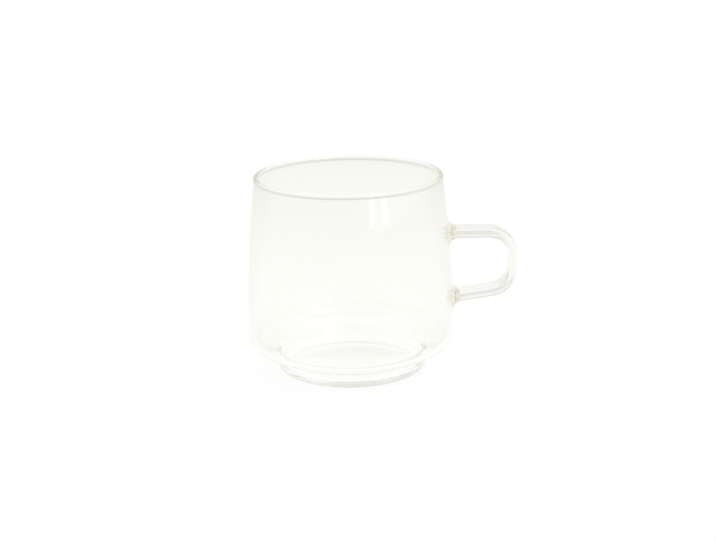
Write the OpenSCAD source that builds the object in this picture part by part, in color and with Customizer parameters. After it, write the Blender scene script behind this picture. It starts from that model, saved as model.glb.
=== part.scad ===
// Latte glass: a mould-blown bowl on a short foot, with a flat glass strap bent into a handle
// and welded on at two places.
// Frame: +Z up, origin at the middle of the foot where it stands, handle towards +X.

/* [Bowl] */
// Widest outer diameter of the bowl
bowl_d = 92; // [84:1:110]
// Height from the table to the top of the rim
bowl_h = 89; // [78:1:120]
// Thickness of the blown wall
wall_t = 1.8; // [1.2:0.1:3]
// Radius of the wall's outward bow, seen from the side
wall_bow_r = 550; // [400:10:1200]
// How far the fire-polished bead of the rim swells past each face of the wall
rim_swell = 0.3; // [0.1:0.05:0.8]

/* [Shoulder and foot] */
// Slope of the shoulder, above the horizontal
shoulder_angle = 22; // [12:1:36]
// Outer radius of the bend from the wall into the shoulder
shoulder_bend_r = 9; // [5:0.5:14]
// Diameter of the foot, where its sides would meet the table
foot_d = 65.2; // [58:0.2:72]
// Lean of the foot's sides, outwards as they rise
foot_lean = 10.5; // [0:0.5:15]
// Height from the table to the corner where the foot meets the shoulder
foot_h = 7.6; // [6:0.2:12]
// Radius of the fillet in that corner
foot_fillet_r = 1.5; // [0.5:0.1:4]
// Radius of the foot's bottom edge
foot_edge_r = 3.5; // [1:0.1:4]
// Thickness of the foot's sides, level with that corner
foot_t = 2.1; // [1.6:0.1:4]
// Steepness of the foot's sides, inside
foot_inner_angle = 75; // [60:1:80]
// Radius that rounds the inner slope of the shoulder over into the foot
foot_brim_r = 3; // [2:0.5:8]
// Width of the flat ring that the foot stands on, around a shallow hollow
foot_ring_w = 1.7; // [1:0.1:6]
// Depth of that hollow at its middle
punt_depth = 0.3; // [0.1:0.1:1]
// Thickness of the floor over the middle of the hollow
floor_t = 2.9; // [1.8:0.1:4]
// Radius of the blend from the floor into the foot's sides, inside
floor_blend_r = 2.5; // [1:0.5:5]

/* [Handle strap] */
// Width of the strap, across the handle
strap_w = 11; // [8:0.5:14]
// Thickness of the strap
strap_t = 4.2; // [3.4:0.1:6]
// Radius of the strap's rounded edges
strap_edge_r = 1.5; // [0.5:0.1:1.6]
// Distance from the bowl's axis to the outermost face of the handle
handle_reach = 74.6; // [70:0.2:90]
// Height of the middle of the upper leg
upper_leg_z = 61.9; // [56:0.1:72]
// Height at which the middle of the lower leg meets the wall
lower_root_z = 32.6; // [26:0.1:36]
// Rise of the lower leg as it runs outwards
lower_leg_rise = 8; // [0:1:15]
// Lean of the outer leg, in towards the bowl at its lower end
outer_leg_lean = 3; // [0:0.5:8]
// Radius of both bends, to the middle of the strap
bend_r = 10.5; // [7:0.1:12]

/* [Welds] */
// Length of a weld along the strap, out from the wall
weld_len = 4.5; // [3.8:0.1:8]
// Radius of the hollow flare that spreads the weld onto the wall
weld_flare_r = 3.5; // [1.5:0.1:3.7]
// Depth to which the flare is pressed into the curve of the wall
weld_bite = 0.4; // [0.2:0.1:0.8]

/* [Hidden] */
$fn = 96;

// Points along arcs, in equal steps of at most this many degrees
arc_step = 6;
edge_step = 18;
function on_circle(c, r, a) = [c.x + r * cos(a), c.y + r * sin(a)];
function steps(a0, a1, step) = let (n = ceil(abs(a1 - a0) / step))
    [for (i = [0 : n]) a0 + (a1 - a0) * i / n];
function arc(c, r, a0, a1, step = arc_step) = [for (a = steps(a0, a1, step)) on_circle(c, r, a)];
function reversed(list) = [for (i = [len(list) - 1 : -1 : 0]) list[i]];
// Where two lines cross, each given by its normal and its distance along that from the origin
function meet(n1, d1, n2, d2) =
    [d1 * n2.y - d2 * n1.y, n1.x * d2 - n2.x * d1] / (n1.x * n2.y - n1.y * n2.x);

bowl_r = bowl_d / 2;
foot_r = foot_d / 2;

// The shoulder's line would run up to a sharp corner with the upright at the widest diameter.
// The bend rounds that corner off, and the bowed wall starts where the bend is upright.
half_turn = (90 - shoulder_angle) / 2;
slope_side = shoulder_angle - 90;
foot_corner = [foot_r + foot_h * tan(foot_lean), foot_h];
corner_z = foot_h + (bowl_r - foot_corner.x) * tan(shoulder_angle);
belly_z = corner_z + shoulder_bend_r * tan(half_turn);
bend_c = [bowl_r - shoulder_bend_r, belly_z];
bow_c = [bowl_r - wall_bow_r, belly_z];
function wall_r(z) = bow_c.x + sqrt(pow(wall_bow_r, 2) - pow(z - belly_z, 2));

// The rim's bead is a circle on the middle of the wall. Each face of the wall ends where it
// meets that circle.
rim_r = wall_t / 2 + rim_swell;
mid_bow_r = wall_bow_r - wall_t / 2;
rim_lean = asin((bowl_h - rim_r - belly_z) / mid_bow_r);
bead_c = on_circle(bow_c, mid_bow_r, rim_lean);
bead_open = acos(wall_t / 2 / rim_r);
bead = arc(bead_c, rim_r, rim_lean - bead_open, rim_lean + 180 + bead_open);
wall_top = rim_lean - asin(rim_r * sin(bead_open) / mid_bow_r);
bow_steps = 16;
function wall_arc(inset) =
    [for (i = [1 : bow_steps - 1]) on_circle(bow_c, wall_bow_r - inset, wall_top * i / bow_steps)];

// Half section of the bowl, in three runs of points: the hollow under the foot, the outer face
// from the foot up to the rim, and the inner face from the floor up to the rim. The wall, the
// bend and the shoulder are parallel inside and out. The foot is hollow: inside, the shoulder
// rounds over into the foot's steep sides, and those blend into the floor.
foot_side = 90 - foot_lean;
edge_c = [foot_r - foot_edge_r * tan(foot_side / 2), foot_edge_r];
punt_r = edge_c.x - foot_ring_w;
punt_ball_r = (punt_r * punt_r + punt_depth * punt_depth) / (2 * punt_depth);
punt_c = [0, punt_depth - punt_ball_r];
under_face = arc(punt_c, punt_ball_r, 90, acos(punt_r / punt_ball_r));
fillet_run = foot_fillet_r * tan((foot_side - shoulder_angle) / 2);
fillet_c = foot_corner - fillet_run * [sin(foot_lean), cos(foot_lean)]
    + foot_fillet_r * [cos(foot_lean), -sin(foot_lean)];
outer_face = concat(
    arc(edge_c, foot_edge_r, -90, -foot_lean),
    arc(fillet_c, foot_fillet_r, 180 - foot_lean, 180 + slope_side),
    arc(bend_c, shoulder_bend_r, slope_side, 0),
    wall_arc(0));
floor_z = punt_depth + floor_t;
inner_bend_r = shoulder_bend_r - wall_t;
inner_slope_top = on_circle(bend_c, inner_bend_r, slope_side);
foot_in = [foot_corner.x - foot_t, foot_h];
inner_normal = [sin(foot_inner_angle), -cos(foot_inner_angle)];
slope_normal = [sin(shoulder_angle), -cos(shoulder_angle)];
brim_c = meet(
    inner_normal, foot_in * inner_normal + foot_brim_r,
    slope_normal, inner_slope_top * slope_normal + foot_brim_r);
floor_edge_x = foot_in.x - (foot_h - floor_z) / tan(foot_inner_angle);
blend_c = [floor_edge_x - floor_blend_r * tan(foot_inner_angle / 2), floor_z + floor_blend_r];
inner_face = concat(
    [[0, floor_z]],
    arc(blend_c, floor_blend_r, -90, foot_inner_angle - 90),
    arc(brim_c, foot_brim_r, 90 + foot_inner_angle, 90 + shoulder_angle),
    arc(bend_c, inner_bend_r, slope_side, 0),
    wall_arc(wall_t));

// Handle centreline in the XZ plane: a level upper leg, a bend, the outer leg, a second bend and
// the rising lower leg. The middle of the second bend lies bend_r from both legs' lines.
upper_root = [wall_r(upper_leg_z), upper_leg_z];
lower_root = [wall_r(lower_root_z), lower_root_z];
outer_in = [-cos(outer_leg_lean), sin(outer_leg_lean)];
lower_out = [cos(lower_leg_rise), sin(lower_leg_rise)];
lower_up = [-lower_out.y, lower_out.x];
bend1_c = [handle_reach - strap_t / 2 - bend_r, upper_leg_z - bend_r];
outer_top = bend1_c - bend_r * outer_in;
bend2_c = meet(outer_in, outer_top * outer_in + bend_r, lower_up, lower_root * lower_up + bend_r);

// Stations along that line, [x, z, heading], from the upper weld to the lower one
upper_end = upper_root + [weld_len, 0];
lower_end = lower_root + weld_len * lower_out;
function bend_stations(c, a0, a1) =
    [for (a = steps(a0, a1, arc_step)) let (p = on_circle(c, bend_r, a)) [p.x, p.y, a - 90]];
stations = concat(
    [[upper_end.x, upper_end.y, 0]],
    bend_stations(bend1_c, 90, -outer_leg_lean),
    bend_stations(bend2_c, -outer_leg_lean, lower_leg_rise - 90),
    [[lower_end.x, lower_end.y, lower_leg_rise - 180]]);

// Section of the strap, its thickness along x and its width along y
core_t = strap_t - 2 * strap_edge_r;
core_w = strap_w - 2 * strap_edge_r;
strap_ring = [for (q = [[1, 1, 0], [-1, 1, 90], [-1, -1, 180], [1, -1, 270]])
    each arc([q.x * core_t / 2, q.y * core_w / 2], strap_edge_r, q.z, q.z + 90, edge_step)];

// A weld's flare starts weld_bite inside the wall's face. Behind it a skirt reaches back to the
// wall where that curves away beside the strap.
flare_c = [strap_edge_r + weld_flare_r, weld_flare_r - weld_bite];
weld_half_w = strap_w / 2 + weld_flare_r;
weld_back = -(upper_root.x - sqrt(pow(upper_root.x, 2) - pow(weld_half_w, 2))) - strap_t;

glass = [0.95, 0.94, 0.90, 0.45];
weld_glass = [0.86, 0.84, 0.74, 0.6];

// The bowl's outer form, solid
module bowl_blank() {
    rotate_extrude() polygon(concat([[0, 0]], outer_face, [[0, outer_face[len(outer_face) - 1].y]]));
}

// The strap: its section carried along the stations, and closed at both ends
module strap() {
    n = len(strap_ring);
    last = (len(stations) - 1) * n;
    points = [for (s = stations, p = strap_ring) [s.x - p.x * sin(s.z), p.y, s.y + p.x * cos(s.z)]];
    sides = [for (k = [0 : n : last - n], i = [0 : n - 1]) let (j = (i + 1) % n)
        each [[k + i, k + n + i, k + j], [k + j, k + n + i, k + n + j]]];
    ends = [for (i = [1 : n - 2]) each [[0, i, i + 1], [last, last + i + 1, last + i]]];
    polyhedron(points, concat(sides, ends));
}

// Half profile of a weld: the strap's rounded edge, spreading by a hollow arc down to the wall
module weld_profile() {
    polygon(concat(
        [[0, weld_back], [flare_c.x, weld_back]],
        arc(flare_c, weld_flare_r, 270, 180),
        [[strap_edge_r, weld_len], [0, weld_len]]));
}

// A weld standing along +Z, with the strap's section at its top
module weld_flare() {
    translate([-core_t / 2, -core_w / 2, weld_back]) cube([core_t, core_w, weld_len - weld_back]);
    for (turn = [0, 180]) rotate(turn) {
        translate([core_t / 2, core_w / 2]) rotate([90, 0, 0]) linear_extrude(core_w) weld_profile();
        translate([-core_t / 2, core_w / 2]) rotate([90, 0, 90]) linear_extrude(core_t) weld_profile();
        translate([core_t / 2, core_w / 2]) rotate_extrude(angle = 90) weld_profile();
        translate([-core_t / 2, core_w / 2]) rotate(90) rotate_extrude(angle = 90) weld_profile();
    }
}

// A weld between the wall and a leg that leaves a point [x, z] of the wall at the given rise
module weld(root, rise) {
    difference() {
        translate([root.x, 0, root.y]) rotate([0, 90 - rise, 0]) weld_flare();
        bowl_blank();
    }
}

module bowl() {
    color(glass) rotate_extrude() polygon(concat(under_face, outer_face, bead, reversed(inner_face)));
}

module handle() { color(glass) strap(); }

module upper_weld() { color(weld_glass) weld(upper_root, 0); }

module lower_weld() { color(weld_glass) weld(lower_root, lower_leg_rise); }

bowl();
handle();
upper_weld();
lower_weld();
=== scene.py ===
# %% [markdown]
# # A latte glass in Blender
#
# The real object is a mould-blown glass with a bent strap of the same glass for a handle, joined
# to the wall by two flame welds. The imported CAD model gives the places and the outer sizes, so this
# lesson only makes the finer meshes, the glass and the light. All lengths are written in millimetres
# and turned into metres once, when a mesh, a lamp or a pattern is made.

# %% Load the frame
import math

import bmesh
import bpy
from mathutils import Matrix, Vector


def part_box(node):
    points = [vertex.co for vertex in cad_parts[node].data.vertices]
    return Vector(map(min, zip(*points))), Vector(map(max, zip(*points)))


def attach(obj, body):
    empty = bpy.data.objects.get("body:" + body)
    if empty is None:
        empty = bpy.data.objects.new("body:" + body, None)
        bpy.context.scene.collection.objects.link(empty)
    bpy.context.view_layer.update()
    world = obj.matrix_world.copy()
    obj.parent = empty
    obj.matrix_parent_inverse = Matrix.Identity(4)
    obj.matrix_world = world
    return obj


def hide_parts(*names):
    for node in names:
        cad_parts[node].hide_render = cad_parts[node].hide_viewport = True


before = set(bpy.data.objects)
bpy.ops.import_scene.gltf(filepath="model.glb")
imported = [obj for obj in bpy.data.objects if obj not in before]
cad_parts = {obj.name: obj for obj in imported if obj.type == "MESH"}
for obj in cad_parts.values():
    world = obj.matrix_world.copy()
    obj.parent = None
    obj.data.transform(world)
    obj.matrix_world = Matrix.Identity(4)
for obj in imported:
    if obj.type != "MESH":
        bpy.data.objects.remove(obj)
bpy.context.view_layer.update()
MM = 0.001
scene = bpy.context.scene


# %% [markdown]
# ## The camera
#
# The camera could be placed by eye, but the ellipses of the rim and the foot fix its height and
# distance, and the foot's slight tilt in the picture fixes its roll. It looks down about 15.5 degrees
# through a long lens, so the glass keeps nearly parallel sides.

# %% Camera
CAMERA_AT = Vector((0.0, -753.57, 253.88))
CAMERA_AIM = Vector((3.51, 0.0, 45.06))
CAMERA_ROLL = -1.11
LENS, SENSOR_W = 88.04, 36.0
camera_data = bpy.data.cameras.new("camera")
camera_data.lens, camera_data.sensor_width = LENS, SENSOR_W
camera = bpy.data.objects.new("camera", camera_data)
scene.collection.objects.link(camera)
backward = (CAMERA_AT - CAMERA_AIM).normalized()
facing = backward.to_track_quat("Z", "Y").to_matrix().to_4x4()
roll = Matrix.Rotation(math.radians(CAMERA_ROLL), 4, "Z")
camera.matrix_world = Matrix.Translation(CAMERA_AT * MM) @ facing @ roll
scene.camera = camera
print("camera looks down", round(math.degrees(math.asin(backward.z)), 2), "degrees")


# %% [markdown]
# ## Two helpers for nodes
#
# Materials and Geometry Nodes are both trees of nodes, so one function adds a node with its settings
# and links to any of them. Colours are written as the usual hex values, and another function turns
# these into the linear light that shaders work in.

# %% Node helpers
def add_node(tree, kind, links=None, **settings):
    """Adds a node; links gives each input, by name or number, a socket or a plain value."""
    node = tree.nodes.new(kind)
    for name, value in settings.items():
        setattr(node, name, value)
    for name, value in (links or {}).items():
        if isinstance(value, bpy.types.NodeSocket):
            tree.links.new(value, node.inputs[name])
        else:
            node.inputs[name].default_value = value
    return node


def linear(hex_code):
    """The linear colour of an sRGB hex value."""
    parts = [int(hex_code[i:i + 2], 16) / 255 for i in (1, 3, 5)]
    return [p / 12.92 if p <= 0.04045 else ((p + 0.055) / 1.055) ** 2.4 for p in parts] + [1.0]


print("middle grey #808080 is", round(linear("#808080")[0], 3), "in linear light")


# %% [markdown]
# ## The glass
#
# Borosilicate is clear, with a faint warm cast where the light crosses much of it. A plain glass
# shader looks too perfect: a blown wall has long soft waves from the mould, and a film of wiping haze
# that only shows in reflections. The waves are a bump, some 20 mm long on the bowl and shorter on the
# strap and the welds. The haze is a roughness that changes every few millimetres, and the cast drifts
# slowly from place to place.

# %% Glass materials
GLASS_IOR = 1.474
CAST_MM, HAZE_MM = 45, 6
HAZE_FROM, HAZE_TO, HAZE_MOST = 0.35, 0.75, 0.025
DEPTH_TONE, DEPTH_DENSITY = "#CBCBAE", 0.25


def make_glass(name, pale, deep, wave_mm, wave_depth_mm, stretch):
    """Clear glass with a drifting cast, soft waves and a thin haze, by sizes in millimetres."""
    material = bpy.data.materials.new(name)
    material.use_nodes = True
    tree = material.node_tree
    shader = tree.nodes["Principled BSDF"]
    place = add_node(tree, "ShaderNodeTexCoord")
    turned = add_node(tree, "ShaderNodeMapping", {"Vector": place.outputs["Object"], "Scale": stretch})
    cast = add_node(tree, "ShaderNodeTexNoise", {
        "Vector": turned.outputs["Vector"], "Scale": 1 / (CAST_MM * MM), "Detail": 1.0})
    # A Mix node that mixes colours takes them in inputs 6 and 7, and gives the result in output 2
    tint = add_node(tree, "ShaderNodeMix", {
        0: cast.outputs["Fac"], 6: linear(pale), 7: linear(deep)}, data_type="RGBA")
    wave = add_node(tree, "ShaderNodeTexNoise", {
        "Vector": turned.outputs["Vector"], "Scale": 1 / (wave_mm * MM), "Detail": 2.0, "Roughness": 0.4})
    bump = add_node(tree, "ShaderNodeBump", {
        "Height": wave.outputs["Fac"], "Strength": 1.0, "Distance": wave_depth_mm * MM})
    haze = add_node(tree, "ShaderNodeTexNoise", {
        "Vector": place.outputs["Object"], "Scale": 1 / (HAZE_MM * MM), "Detail": 3.0})
    film = add_node(tree, "ShaderNodeMapRange", {
        "Value": haze.outputs["Fac"], "From Min": HAZE_FROM, "From Max": HAZE_TO,
        "To Min": 0.0, "To Max": HAZE_MOST})
    tree.links.new(tint.outputs[2], shader.inputs["Base Color"])
    tree.links.new(film.outputs["Result"], shader.inputs["Roughness"])
    tree.links.new(bump.outputs["Normal"], shader.inputs["Normal"])
    shader.inputs["IOR"].default_value = GLASS_IOR
    shader.inputs["Transmission Weight"].default_value = 1.0
    depth = add_node(tree, "ShaderNodeVolumeAbsorption", {
        "Color": linear(DEPTH_TONE), "Density": DEPTH_DENSITY})
    tree.links.new(depth.outputs["Volume"], tree.nodes["Material Output"].inputs["Volume"])
    print("glass:", name, "with waves of", wave_mm, "mm")
    return material


# Blown in a mould: long waves, drawn out upwards, and almost no colour
blown_glass = make_glass("blown_borosilicate_glass", "#FFFFFF", "#FFFFFE",
                         wave_mm=22, wave_depth_mm=0.02, stretch=(1, 1, 0.6))
# Drawn as a bar: waves that run along the strap and are finer across it
strap_glass = make_glass("drawn_strap_glass", "#FFFFFF", "#FFFEFD",
                         wave_mm=9, wave_depth_mm=0.015, stretch=(0.3, 1.6, 0.3))
# Worked in the flame: short ripples and a faint amber cast
weld_glass = make_glass("flame_welded_glass", "#FFFFFD", "#FFFEF5",
                        wave_mm=8, wave_depth_mm=0.01, stretch=(1, 1, 1))


# %% [markdown]
# ## The bowl's half section
#
# A bowl like this is a lathe shape, so one line of points says everything: under the foot, up the
# outside, over the fire-polished rim, down the inside, over the brim of the hollow foot and across
# the floor. A spline through chosen points would do, but lines and arcs keep the real radii. The bead
# of the rim is a full round a little thicker than the wall, with a hollow blend on each side.

# %% Arcs and rounded corners
def arc(centre, radius, start, end, steps):
    """Points on an arc, with its angles in degrees, both ends included."""
    angles = [math.radians(start + (end - start) * i / steps) for i in range(steps + 1)]
    return [(centre[0] + radius * math.cos(a), centre[1] + radius * math.sin(a)) for a in angles]


def rounded(before, corner, after, radius, steps):
    """The arc that rounds a corner off, from the line before it to the line after it."""
    back, on = (before - corner).normalized(), (after - corner).normalized()
    half = back.angle(on) / 2
    centre = corner + (back + on).normalized() * (radius / math.sin(half))
    first, last = (corner + way * (radius / math.tan(half)) - centre for way in (back, on))
    start = math.degrees(math.atan2(first.y, first.x))
    return arc(centre, radius, start, start - math.degrees(first.angle_signed(last)), steps)


half_circle = arc((0, 0), 10, 0, 180, steps=2)
print("half a circle of 10 mm in 2 steps:", [tuple(round(v, 2) for v in p) for p in half_circle])


# %% Sizes of the bowl
# Lengths are in millimetres and angles in degrees: R is a radius, T a thickness and H a height
bowl_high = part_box("bowl")[1] / MM
BOWL_R, BOWL_H = bowl_high.x, bowl_high.z
WALL_T, WALL_BOW_R, WALL_STEPS = 1.8, 550.0, 48
RIM_R, RIM_BLEND_R = 1.2, 1.5
SHOULDER, BEND_R = 22.0, 9.0
FOOT_R, FOOT_LEAN, FOOT_H, FOOT_FILLET_R, FOOT_EDGE_R = 32.6, 10.5, 7.6, 1.5, 3.5
FOOT_T, FOOT_INNER, FOOT_BRIM_R = 2.1, 75.0, 3.0
PUNT_R, PUNT_DEPTH, PUNT_STEPS = 28.0, 0.3, 12
PUNT_EASE_IN, PUNT_EASE_OUT = 0.6, 0.4
FLOOR_T, FLOOR_BLEND_R, FLOOR_STEPS = 2.9, 2.5, 8

UP = Vector((0, 1))
slope = math.tan(math.radians(SHOULDER))
foot_corner = Vector((FOOT_R + FOOT_H * math.tan(math.radians(FOOT_LEAN)), FOOT_H))
belly_corner = Vector((BOWL_R, FOOT_H + (BOWL_R - foot_corner.x) * slope))
belly_z = belly_corner.y + BEND_R * math.tan(math.radians((90 - SHOULDER) / 2))
bow_x = BOWL_R - WALL_BOW_R
print("widest at", round(belly_z, 2), "mm, foot meets the shoulder at", round(foot_corner.x, 2), "mm")


# %% Wall and rim
def wall_radius(z):
    """Outer radius of the bowed wall at a height."""
    return bow_x + math.sqrt(WALL_BOW_R ** 2 - (z - belly_z) ** 2)


def wall_point(bow_r, angle):
    """A point of the bowed wall, by the radius of its bow and an angle above the widest place."""
    return (bow_x + bow_r * math.cos(angle), belly_z + bow_r * math.sin(angle))


def rim_points():
    """The bead and its two hollow blends, from the outer face of the wall over to the inner one."""
    mid_r = WALL_BOW_R - WALL_T / 2
    lean = math.asin((BOWL_H - RIM_R - belly_z) / mid_r)
    centre = Vector(wall_point(mid_r, lean))
    out, up = Vector((math.cos(lean), math.sin(lean))), Vector((-math.sin(lean), math.cos(lean)))
    blend_v = WALL_T / 2 + RIM_BLEND_R
    reach = RIM_R + RIM_BLEND_R
    blend_u = -math.sqrt(reach ** 2 - blend_v ** 2)
    touch = math.degrees(math.atan2(blend_u, blend_v))
    outer = arc((blend_v, blend_u), RIM_BLEND_R, 180, 180 + touch, steps=10)
    bead = arc((0, 0), RIM_R, touch, 180 - touch, steps=48)
    inner = [(-v, u) for v, u in reversed(outer)]
    points = [centre + out * v + up * u for v, u in outer + bead[1:-1] + inner]
    return [tuple(p) for p in points], lean + blend_u / mid_r


rim, wall_top = rim_points()
wall_angles = [wall_top * i / WALL_STEPS for i in range(1, WALL_STEPS)]
print("rim:", len(rim), "points, wall ends", round(wall_point(WALL_BOW_R, wall_top)[1], 2), "mm up")


# %% Outside and inside
def punt_points():
    """The shallow hollow under the foot, from the axis out to the ring that the glass stands on."""
    ball_r = (PUNT_R ** 2 + PUNT_DEPTH ** 2) / (2 * PUNT_DEPTH)
    places = [(PUNT_R - PUNT_EASE_IN) * i / PUNT_STEPS for i in range(PUNT_STEPS + 1)]
    hollow = [(x, PUNT_DEPTH - ball_r + math.sqrt(ball_r ** 2 - x * x)) for x in places]
    return hollow + [(PUNT_R + PUNT_EASE_OUT, 0.0)]


def outside_points():
    """The outside, from the foot's lower edge up to the rim."""
    foot_edge = Vector((FOOT_R, 0))
    return (rounded(Vector((0, 0)), foot_edge, foot_corner, FOOT_EDGE_R, steps=14)
            + rounded(foot_edge, foot_corner, belly_corner, FOOT_FILLET_R, steps=10)
            + rounded(foot_corner, belly_corner, belly_corner + UP, BEND_R, steps=20)
            + [wall_point(WALL_BOW_R, a) for a in wall_angles])


def inside_points():
    """The inside, from the rim down over the foot's brim to the middle of the floor."""
    floor_z = PUNT_DEPTH + FLOOR_T
    lift = WALL_T / math.cos(math.radians(SHOULDER))
    steep = math.tan(math.radians(FOOT_INNER))
    side_x = foot_corner.x - FOOT_T
    brim_x = (lift - slope * foot_corner.x + steep * side_x) / (steep - slope)
    brim = Vector((brim_x, FOOT_H + steep * (brim_x - side_x)))
    floor_corner = Vector((side_x - (FOOT_H - floor_z) / steep, floor_z))
    belly_in = Vector((BOWL_R - WALL_T, belly_corner.y + lift - WALL_T * slope))
    inside = ([wall_point(WALL_BOW_R - WALL_T, a) for a in reversed(wall_angles)]
              + rounded(belly_in + UP, belly_in, brim, BEND_R - WALL_T, steps=20)
              + rounded(belly_in, brim, floor_corner, FOOT_BRIM_R, steps=14)
              + rounded(brim, floor_corner, Vector((0, floor_z)), FLOOR_BLEND_R, steps=14))
    return inside + [(inside[-1][0] * i / FLOOR_STEPS, floor_z) for i in reversed(range(FLOOR_STEPS))]


section = punt_points() + outside_points() + rim + inside_points()
print("half section:", len(section), "points")


# %% [markdown]
# ## Turning the bowl
#
# Blender's Screw modifier would turn the line as well, but a Geometry Nodes lathe keeps the number
# of segments as a named input. A flat grid has one column for each turn step and one row for each
# point of the section. Every vertex looks its point up and is turned about the axis, and the seam
# and the two poles are merged.

# %% Lathe tree
MERGE_WITHIN = 0.001


def lathe_tree():
    """A tree that turns a half section about the Z axis."""
    tree = bpy.data.node_groups.new("lathe", "GeometryNodeTree")
    for name, kind in (("Half Section", "NodeSocketGeometry"), ("Segments", "NodeSocketInt"),
                       ("Glass", "NodeSocketMaterial")):
        tree.interface.new_socket(name, in_out="INPUT", socket_type=kind)
    tree.interface.new_socket("Bowl", in_out="OUTPUT", socket_type="NodeSocketGeometry")
    given = add_node(tree, "NodeGroupInput").outputs
    count = add_node(tree, "GeometryNodeAttributeDomainSize", {0: given["Half Section"]}, component="MESH")
    rows = count.outputs["Point Count"]
    columns = add_node(tree, "FunctionNodeIntegerMath", {0: given["Segments"], 1: 1}, operation="ADD")
    grid = add_node(tree, "GeometryNodeMeshGrid", {"Vertices X": columns.outputs[0], "Vertices Y": rows})
    index = add_node(tree, "GeometryNodeInputIndex").outputs[0]
    row = add_node(tree, "FunctionNodeIntegerMath", {0: index, 1: rows}, operation="MODULO")
    column = add_node(tree, "FunctionNodeIntegerMath", {0: index, 1: rows}, operation="DIVIDE_FLOOR")
    share = add_node(tree, "ShaderNodeMath", {0: column.outputs[0], 1: given["Segments"]}, operation="DIVIDE")
    angle = add_node(tree, "ShaderNodeMath", {0: share.outputs[0], 1: math.tau}, operation="MULTIPLY")
    place = add_node(tree, "GeometryNodeInputPosition")
    point = add_node(tree, "GeometryNodeSampleIndex", {
        0: given["Half Section"], "Value": place.outputs[0], "Index": row.outputs[0]},
        data_type="FLOAT_VECTOR", domain="POINT")
    turned = add_node(tree, "ShaderNodeVectorRotate", {
        "Vector": point.outputs[0], "Angle": angle.outputs[0]}, rotation_type="Z_AXIS")
    moved = add_node(tree, "GeometryNodeSetPosition", {
        0: grid.outputs["Mesh"], "Position": turned.outputs[0]})
    merged = add_node(tree, "GeometryNodeMergeByDistance", {
        0: moved.outputs[0], "Distance": MERGE_WITHIN * MM})
    smooth = add_node(tree, "GeometryNodeSetShadeSmooth", {0: merged.outputs[0]})
    real = add_node(tree, "GeometryNodeRealizeInstances", {0: smooth.outputs[0]})
    dressed = add_node(tree, "GeometryNodeSetMaterial", {0: real.outputs[0], "Material": given["Glass"]})
    add_node(tree, "NodeGroupOutput", {0: dressed.outputs[0]})
    print("lathe tree:", len(tree.nodes), "nodes")
    return tree


lathe = lathe_tree()


# %% Growing and finishing a piece
def grow(name, seed_data, tree, values):
    """Runs a tree on a seed mesh or curve, with its named inputs, and keeps the plain mesh."""
    seed = bpy.data.objects.new(name + "_seed", seed_data)
    scene.collection.objects.link(seed)
    modifier = seed.modifiers.new(tree.name, "NODES")
    modifier.node_group = tree
    for item in tree.interface.items_tree:
        if item.in_out == "INPUT" and item.name in values:
            modifier[item.identifier] = values[item.name]
    solved = seed.evaluated_get(bpy.context.evaluated_depsgraph_get())
    mesh = bpy.data.meshes.new_from_object(solved)
    seed.modifiers.remove(modifier)
    bpy.data.objects.remove(seed)
    mesh.name = name
    return mesh


def finish_piece(mesh, node):
    """Puts a mesh on the one body in place of a CAD node, and says what it measures."""
    piece = bpy.data.objects.new(mesh.name, mesh)
    scene.collection.objects.link(piece)
    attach(piece, "root")
    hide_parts(node)
    work = bmesh.new()
    work.from_mesh(mesh)
    open_edges = sum(not e.is_manifold for e in work.edges)
    print(piece.name, len(work.faces), "faces,", open_edges, "open edges,",
          round(work.calc_volume(signed=True) / MM ** 3), "mm3")
    work.free()


# %% Bowl
BOWL_SEGMENTS = 320
section_mesh = bpy.data.meshes.new("half_section")
section_mesh.from_pydata([(x * MM, 0, z * MM) for x, z in section],
                         [(i, i + 1) for i in range(len(section) - 1)], [])
bowl_mesh = grow("blown_bowl", section_mesh, lathe, {"Segments": BOWL_SEGMENTS, "Glass": blown_glass})
finish_piece(bowl_mesh, "bowl")


# %% [markdown]
# ## The handle's strap
#
# The strap was drawn as a flat bar and bent hot, so it is one section carried along a line. The
# line is four corners, rounded by a Fillet Curve node, and the section is a rectangle rounded by
# another. A bevelled curve object could do the same, but the tree keeps each size as a named input.
# The strap ends a hair's breadth inside each weld, so that no gap shows between the two.

# %% Strap line
handle_low, handle_high = (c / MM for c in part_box("handle"))
STRAP_T, STRAP_EDGE_R, STRAP_BEND_R = 4.2, 1.5, 10.5
STRAP_W = handle_high.y - handle_low.y
OUTER_LEAN, LOWER_RISE, LOWER_ROOT_Z = 3.0, 8.0, 32.6
WELD_LEN, JOINT_OVERLAP = 4.5, 0.02


def heading(degrees):
    """The direction at an angle above the horizontal, as seen from the side."""
    return Vector((math.cos(math.radians(degrees)), math.sin(math.radians(degrees))))


upper_leg_z = handle_high.z - STRAP_T / 2
upper_root = Vector((wall_radius(upper_leg_z), upper_leg_z))
lower_root = Vector((wall_radius(LOWER_ROOT_Z), LOWER_ROOT_Z))
upper_out, lower_out, lean_out = heading(0), heading(LOWER_RISE), heading(-OUTER_LEAN)
upper_bend = Vector((handle_high.x - STRAP_T / 2 - STRAP_BEND_R, upper_leg_z - STRAP_BEND_R))
outer_reach = lean_out.dot(upper_bend) + STRAP_BEND_R


def leg_corner(root, out):
    """Where a leg's line meets the line of the outer leg."""
    return root + out * ((outer_reach - lean_out.dot(root)) / lean_out.dot(out))


strap_start = WELD_LEN - JOINT_OVERLAP
strap_corners = [upper_root + upper_out * strap_start, leg_corner(upper_root, upper_out),
                 leg_corner(lower_root, lower_out), lower_root + lower_out * strap_start]
print("strap corners:", [tuple(round(v, 2) for v in c) for c in strap_corners])


# %% Strap tree
BEND_STEPS, EDGE_STEPS, CRISP_ANGLE = 40, 12, 60


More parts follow.
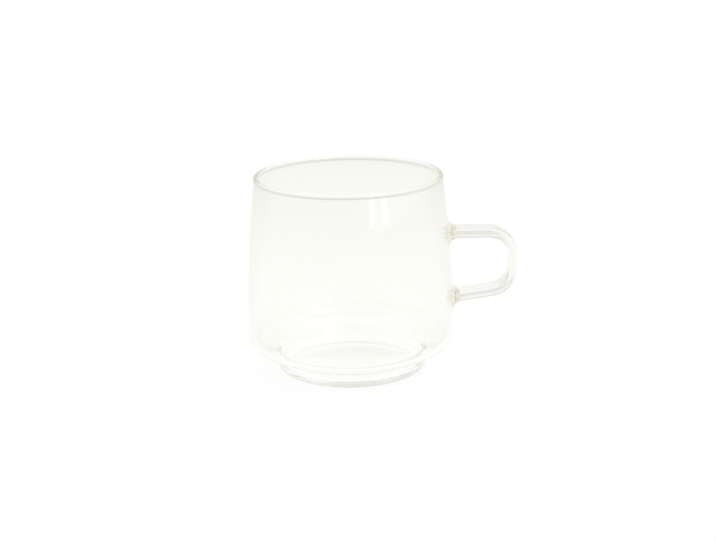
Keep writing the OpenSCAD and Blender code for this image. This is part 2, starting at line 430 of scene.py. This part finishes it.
def strap_tree():
    """A tree that carries a rounded bar along a line with rounded corners."""
    tree = bpy.data.node_groups.new("bent_strap", "GeometryNodeTree")
    for name, kind in (("Corners", "NodeSocketGeometry"), ("Bend Radius", "NodeSocketFloat"),
                       ("Thickness", "NodeSocketFloat"), ("Width", "NodeSocketFloat"),
                       ("Edge Radius", "NodeSocketFloat"), ("Glass", "NodeSocketMaterial")):
        tree.interface.new_socket(name, in_out="INPUT", socket_type=kind)
    tree.interface.new_socket("Strap", in_out="OUTPUT", socket_type="NodeSocketGeometry")
    given = add_node(tree, "NodeGroupInput").outputs
    line = add_node(tree, "GeometryNodeFilletCurve", {
        0: given["Corners"], "Radius": given["Bend Radius"], "Count": BEND_STEPS}, mode="POLY")
    level = add_node(tree, "GeometryNodeSetCurveNormal", {
        0: line.outputs[0], "Normal": (0, 1, 0)}, mode="FREE")
    bar = add_node(tree, "GeometryNodeCurvePrimitiveQuadrilateral", {
        "Width": given["Width"], "Height": given["Thickness"]})
    soft_bar = add_node(tree, "GeometryNodeFilletCurve", {
        0: bar.outputs[0], "Radius": given["Edge Radius"], "Count": EDGE_STEPS}, mode="POLY")
    swept = add_node(tree, "GeometryNodeCurveToMesh", {
        "Curve": level.outputs[0], "Profile Curve": soft_bar.outputs[0], "Fill Caps": True})
    smooth = add_node(tree, "GeometryNodeSetShadeSmooth", {0: swept.outputs[0]}, domain="FACE")
    bend = add_node(tree, "GeometryNodeInputMeshEdgeAngle")
    corner = add_node(tree, "FunctionNodeCompare", {
        0: bend.outputs["Unsigned Angle"], 1: math.radians(CRISP_ANGLE)}, operation="GREATER_THAN")
    crisp = add_node(tree, "GeometryNodeSetShadeSmooth", {
        0: smooth.outputs[0], "Selection": corner.outputs[0], "Shade Smooth": False}, domain="EDGE")
    real = add_node(tree, "GeometryNodeRealizeInstances", {0: crisp.outputs[0]})
    dressed = add_node(tree, "GeometryNodeSetMaterial", {0: real.outputs[0], "Material": given["Glass"]})
    add_node(tree, "NodeGroupOutput", {0: dressed.outputs[0]})
    print("strap tree:", len(tree.nodes), "nodes")
    return tree


bent_strap = strap_tree()


# %% Strap
corner_line = bpy.data.curves.new("strap_line", "CURVE")
corner_line.dimensions = "3D"
spline = corner_line.splines.new("POLY")
spline.points.add(len(strap_corners) - 1)
for point, corner in zip(spline.points, strap_corners):
    point.co = (corner.x * MM, 0, corner.y * MM, 1)
handle_mesh = grow("handle_strap", corner_line, bent_strap, {
    "Bend Radius": STRAP_BEND_R * MM, "Thickness": STRAP_T * MM, "Width": STRAP_W * MM,
    "Edge Radius": STRAP_EDGE_R * MM, "Glass": strap_glass})
finish_piece(handle_mesh, "handle")


# %% [markdown]
# ## The welds
#
# At each end the soft strap was pressed onto the wall, and the glass spread into a hollow flare.
# A boolean could cut a flare to the wall, but it leaves ragged faces that glass shows at once. So
# each weld is a loft: rings of the strap's section grow by the arc of the flare while they bend from
# the flat end of the strap to the round of the wall. The last rings sink a little way into the wall,
# and the cap lies parallel to it, so that the light runs on as through one glass.

# %% Rings of a weld
FLARE_R, FLARE_END, FLARE_STEPS = 3.5, 82.0, 28
SINK, CAP_SHARES = 0.5, (1.0, 0.8, 0.6, 0.4, 0.2)
SIDE_STEPS, SETTLE_PASSES = 10, 8


def section_ring(spread, shrink=1.0):
    """The strap's rounded section, grown on all sides, as points of thickness and width."""
    core = Vector((STRAP_T / 2 - STRAP_EDGE_R, STRAP_W / 2 - STRAP_EDGE_R))
    corners = [arc((s * core.x, t * core.y), STRAP_EDGE_R + spread, 90 * k, 90 * k + 90, EDGE_STEPS)
               for k, (s, t) in enumerate(((1, 1), (-1, 1), (-1, -1), (1, -1)))]
    ring = []
    for corner, following in zip(corners, corners[1:] + corners[:1]):
        end, begin = Vector(corner[-1]), Vector(following[0])
        ring += corner + [tuple(end.lerp(begin, i / SIDE_STEPS)) for i in range(1, SIDE_STEPS)]
    return [(b * shrink, w * shrink) for b, w in ring]


def wall_along(root, out, b, w):
    """How far along a leg's line the wall's face lies, found in a few passes that close in on it."""
    up = Vector((-out.y, out.x))
    a = 0.0
    for _ in range(SETTLE_PASSES):
        z = root.y + a * out.y + b * up.y
        x = math.sqrt(wall_radius(z) ** 2 - w * w)
        a += (x - (root.x + a * out.x + b * up.x)) / out.x
    return a


def weld_rings(root, out):
    """Rings from the strap's end down the flare, and over the cap to its middle, along the leg."""
    turns = [math.radians(FLARE_END * i / FLARE_STEPS) for i in range(FLARE_STEPS + 1)]
    levels = [(WELD_LEN, 0.0)] + [(FLARE_R * (1 - math.sin(t)), FLARE_R * (1 - math.cos(t))) for t in turns]
    flare = [[(height + wall_along(root, out, b, w) * (1 - height / WELD_LEN), b, w)
              for b, w in section_ring(spread)] for height, spread in levels]
    widest = levels[-1][1]
    cap = [[(wall_along(root, out, b, w) - SINK, b, w) for b, w in section_ring(widest, share)]
           for share in CAP_SHARES]
    return flare + cap


print("one ring of a weld:", len(section_ring(0.0)), "points")


# %% Welds
WELD_CRISP_ANGLE = 40


def make_weld(name, node, root, out):
    """Lofts the rings of a weld and closes both ends."""
    up = Vector((-out.y, out.x))
    work = bmesh.new()

    def vertex(a, b, w):
        p = root + out * a + up * b
        return work.verts.new((p.x * MM, w * MM, p.y * MM))

    rings = [[vertex(*p) for p in ring] for ring in weld_rings(root, out)]
    count = len(rings[0])
    work.faces.new(rings[0])
    for near, far in zip(rings, rings[1:]):
        for i in range(count):
            work.faces.new((near[i], far[i], far[(i + 1) % count], near[(i + 1) % count]))
    middle = vertex(wall_along(root, out, 0, 0) - SINK, 0, 0)
    for i in range(count):
        work.faces.new((rings[-1][i], middle, rings[-1][(i + 1) % count]))
    bmesh.ops.recalc_face_normals(work, faces=work.faces)
    for face in work.faces:
        face.smooth = True
    for edge in work.edges:
        if edge.calc_face_angle(0) > math.radians(WELD_CRISP_ANGLE):
            edge.smooth = False
    mesh = bpy.data.meshes.new(name)
    work.to_mesh(mesh)
    work.free()
    mesh.materials.append(weld_glass)
    finish_piece(mesh, node)


make_weld("upper_flare", "upper_weld", upper_root, upper_out)
make_weld("lower_flare", "lower_weld", lower_root, lower_out)


# %% [markdown]
# ## The table
#
# Clear glass has no colour of its own to show: it is drawn by what it bends and mirrors. In a room
# that is white all over it would vanish, and dark cards would draw it in hard black lines. So the
# table's glow carries painted shade: it dims softly with distance, and a little to both sides. To the
# eye it is plain white, by Light Path's Is Camera Ray, and glass sees half of that white. A small
# share of diffuse white keeps the glass's soft shadow.

# %% What the eye sees
WHITE_IN_GLASS = 0.5


def to_the_eye(tree):
    """How far a ray sees the plain white: all of it from the camera, a share in glass and mirrors."""
    eye = add_node(tree, "ShaderNodeLightPath")
    bent = add_node(tree, "ShaderNodeMath", {
        0: eye.outputs["Is Glossy Ray"], 1: eye.outputs["Is Transmission Ray"]}, operation="MAXIMUM")
    part = add_node(tree, "ShaderNodeMath", {0: bent.outputs[0], 1: WHITE_IN_GLASS}, operation="MULTIPLY")
    whole = add_node(tree, "ShaderNodeMath", {
        0: eye.outputs["Is Camera Ray"], 1: part.outputs[0]}, operation="MAXIMUM")
    return whole.outputs[0]


def set_stops(ramp_node, stops):
    """Gives a colour ramp, which starts with two stops, its own, as pairs of place and colour."""
    ramp = ramp_node.color_ramp
    for k, (at, colour) in enumerate(stops):
        stop = ramp.elements[k] if k < 2 else ramp.elements.new(at)
        stop.position, stop.color = at, colour


print("share of the white seen in glass:", WHITE_IN_GLASS)


# %% Table material
TABLE_R, TABLE_WHITE, TABLE_DIFFUSE = 1300.0, 0.947, 0.09
# Painted shade by the distance from the glass's axis: the table's glow is bright under the foot, then slowly
# dimmer
TABLE_SHADE_TONES = ((0, "#FFFFFB"), (32, "#FFFFFB"), (50, "#F8F7F2"), (365, "#ECEAE2"), (700, "#C8C6BA"),
               (1300, "#B0AEA2"))
# Painted shade by the distance to either side
SIDE_SHADE_TONES = ((0, "#FFFFFF"), (60, "#FFFFFF"), (85, "#F7F7F7"))

table_material = bpy.data.materials.new("white_table_with_painted_shade")
table_material.use_nodes = True
tree = table_material.node_tree
tree.nodes.clear()
place = add_node(tree, "ShaderNodeTexCoord")
away = add_node(tree, "ShaderNodeVectorMath", {0: place.outputs["Object"]}, operation="LENGTH")
share = add_node(tree, "ShaderNodeMath", {0: away.outputs["Value"], 1: TABLE_R * MM}, operation="DIVIDE")
# Painted shade: the glow that glass sees dims with the distance from the axis
tones = add_node(tree, "ShaderNodeValToRGB", {"Fac": share.outputs[0]})
set_stops(tones, [(at / TABLE_R, linear(tone)) for at, tone in TABLE_SHADE_TONES])
parts = add_node(tree, "ShaderNodeSeparateXYZ", {0: place.outputs["Object"]})
aside = add_node(tree, "ShaderNodeMath", {0: parts.outputs["X"]}, operation="ABSOLUTE")
side_share = add_node(tree, "ShaderNodeMath", {0: aside.outputs[0], 1: TABLE_R * MM}, operation="DIVIDE")
# Painted shade: the glow dims a little towards both sides
side_shade = add_node(tree, "ShaderNodeValToRGB", {"Fac": side_share.outputs[0]})
set_stops(side_shade, [(at / TABLE_R, linear(tone)) for at, tone in SIDE_SHADE_TONES])
table = add_node(tree, "ShaderNodeMix", {
    0: 1.0, 6: tones.outputs["Color"], 7: side_shade.outputs["Color"]},
    data_type="RGBA", blend_type="MULTIPLY")
seen = add_node(tree, "ShaderNodeMix", {
    0: to_the_eye(tree), 6: table.outputs[2], 7: [TABLE_WHITE] * 3 + [1.0]}, data_type="RGBA")
glow = add_node(tree, "ShaderNodeEmission", {"Color": seen.outputs[2], "Strength": 1.0})
matt = add_node(tree, "ShaderNodeBsdfDiffuse", {"Color": [TABLE_DIFFUSE] * 3 + [1.0]})
both = add_node(tree, "ShaderNodeAddShader", {0: glow.outputs[0], 1: matt.outputs[0]})
add_node(tree, "ShaderNodeOutputMaterial", {"Surface": both.outputs[0]})
print("table material:", len(TABLE_SHADE_TONES), "tones out to", TABLE_R, "mm")


# %% Table
TABLE_SIDES, TABLE_DROP = 96, 0.02
work = bmesh.new()
bmesh.ops.create_circle(work, cap_ends=True, segments=TABLE_SIDES, radius=TABLE_R * MM)
bmesh.ops.translate(work, verts=work.verts, vec=(0, 0, -TABLE_DROP * MM))
floor_mesh = bpy.data.meshes.new("floor")
work.to_mesh(floor_mesh)
work.free()
floor_mesh.materials.append(table_material)
floor = bpy.data.objects.new("floor", floor_mesh)
scene.collection.objects.link(floor)
print("floor:", TABLE_DROP, "mm below the foot")


# %% [markdown]
# ## The tent
#
# A picture of a studio could light the glass, but a few tones do, and they need no file. Low down
# the tent has a dim band, which helps to draw the lines of the rim and the handle. Above that it is
# pale, then bright, with a dim top. It is dimmer on the side of the camera, and brighter on the side
# of the soft boxes. The eye sees plain white here too.

# %% Tent
# Tones by the sine of the height above the horizon
TENT_TONES = ((0.05, "#DFDDC8"), (0.09, "#A8A892"), (0.22, "#A8A892"), (0.28, "#E2E1D2"), (0.6, "#E2E1D2"),
              (0.7, "#FFFFFF"), (0.88, "#FFFFFF"), (0.93, "#A6A680"))
# Shares by the degrees round from the side of the camera, to the right
ROUND_SHARES = ((-150, 1.0), (-75, 0.65), (-25, 0.4), (10, 0.4), (32, 1.5), (60, 1.5), (85, 1.0))

world = bpy.data.worlds.new("studio")
scene.world = world
world.use_nodes = True
tree = world.node_tree
tree.nodes.clear()
place = add_node(tree, "ShaderNodeTexCoord")
parts = add_node(tree, "ShaderNodeSeparateXYZ", {0: place.outputs["Generated"]})
tent = add_node(tree, "ShaderNodeValToRGB", {"Fac": parts.outputs["Z"]})
set_stops(tent, [(at, linear(tone)) for at, tone in TENT_TONES])
front = add_node(tree, "ShaderNodeMath", {0: parts.outputs["Y"], 1: -1.0}, operation="MULTIPLY")
bearing = add_node(tree, "ShaderNodeMath", {
    0: parts.outputs["X"], 1: front.outputs[0]}, operation="ARCTAN2")
turned = add_node(tree, "ShaderNodeMapRange", {
    "Value": bearing.outputs[0], "From Min": -math.pi, "From Max": math.pi})
sides = add_node(tree, "ShaderNodeValToRGB", {"Fac": turned.outputs[0]})
set_stops(sides, [((at + 180) / 360, (v, v, v, 1)) for at, v in ROUND_SHARES])
room = add_node(tree, "ShaderNodeMix", {
    0: 1.0, 6: tent.outputs["Color"], 7: sides.outputs["Color"]}, data_type="RGBA", blend_type="MULTIPLY")
seen = add_node(tree, "ShaderNodeBackground", {"Color": (1, 1, 1, 1), "Strength": 1.0})
around = add_node(tree, "ShaderNodeBackground", {"Color": room.outputs[2], "Strength": 1.0})
mixed = add_node(tree, "ShaderNodeMixShader", {
    0: to_the_eye(tree), 1: around.outputs[0], 2: seen.outputs[0]})
add_node(tree, "ShaderNodeOutputWorld", {"Surface": mixed.outputs[0]})
print("tent:", len(TENT_TONES), "tones by height,", len(ROUND_SHARES), "shares round")


# %% [markdown]
# ## The soft boxes
#
# The bright upright streaks on the wall are tall panes of light, mirrored in the curve of the glass.
# Glowing planes could give them, but area lamps show in mirrors without being seen by the camera.
# They are weak enough to leave the rest of the light as it is.

# %% Soft boxes
BOX_AIM, BOX_FAR = Vector((0, 0, 60)), 2000
BOX_RISE, BOX_H = 5, 500


def soft_box(name, round_by, width, power):
    """An upright lamp that looks at the glass, by its degrees round from the camera's side."""
    lamp = bpy.data.lights.new(name, "AREA")
    lamp.shape, lamp.energy = "RECTANGLE", power
    lamp.size, lamp.size_y = width * MM, BOX_H * MM
    box = bpy.data.objects.new(name, lamp)
    a, e = math.radians(round_by), math.radians(BOX_RISE)
    away = Vector((math.sin(a) * math.cos(e), -math.cos(a) * math.cos(e), math.sin(e)))
    facing = away.to_track_quat("Z", "Y").to_matrix().to_4x4()
    box.matrix_world = Matrix.Translation((BOX_AIM + away * BOX_FAR) * MM) @ facing
    scene.collection.objects.link(box)
    print("soft box", name, "at", round_by, "degrees round,", BOX_RISE, "up")


soft_box("window_pane", 27, width=160, power=0.45)
soft_box("window_wide_pane", 42, width=220, power=0.62)


# %% [markdown]
# ## Finish
#
# A path in clear glass meets many faces before it leaves, so the bounce limits are raised until
# the handle's inner reflections stop ending in black.

# %% Render settings
BOUNCES = 512
scene.cycles.max_bounces = BOUNCES
scene.cycles.transmission_bounces = BOUNCES
scene.cycles.glossy_bounces = BOUNCES
scene.view_settings.view_transform = "Standard"
print("light may bounce", BOUNCES, "times")
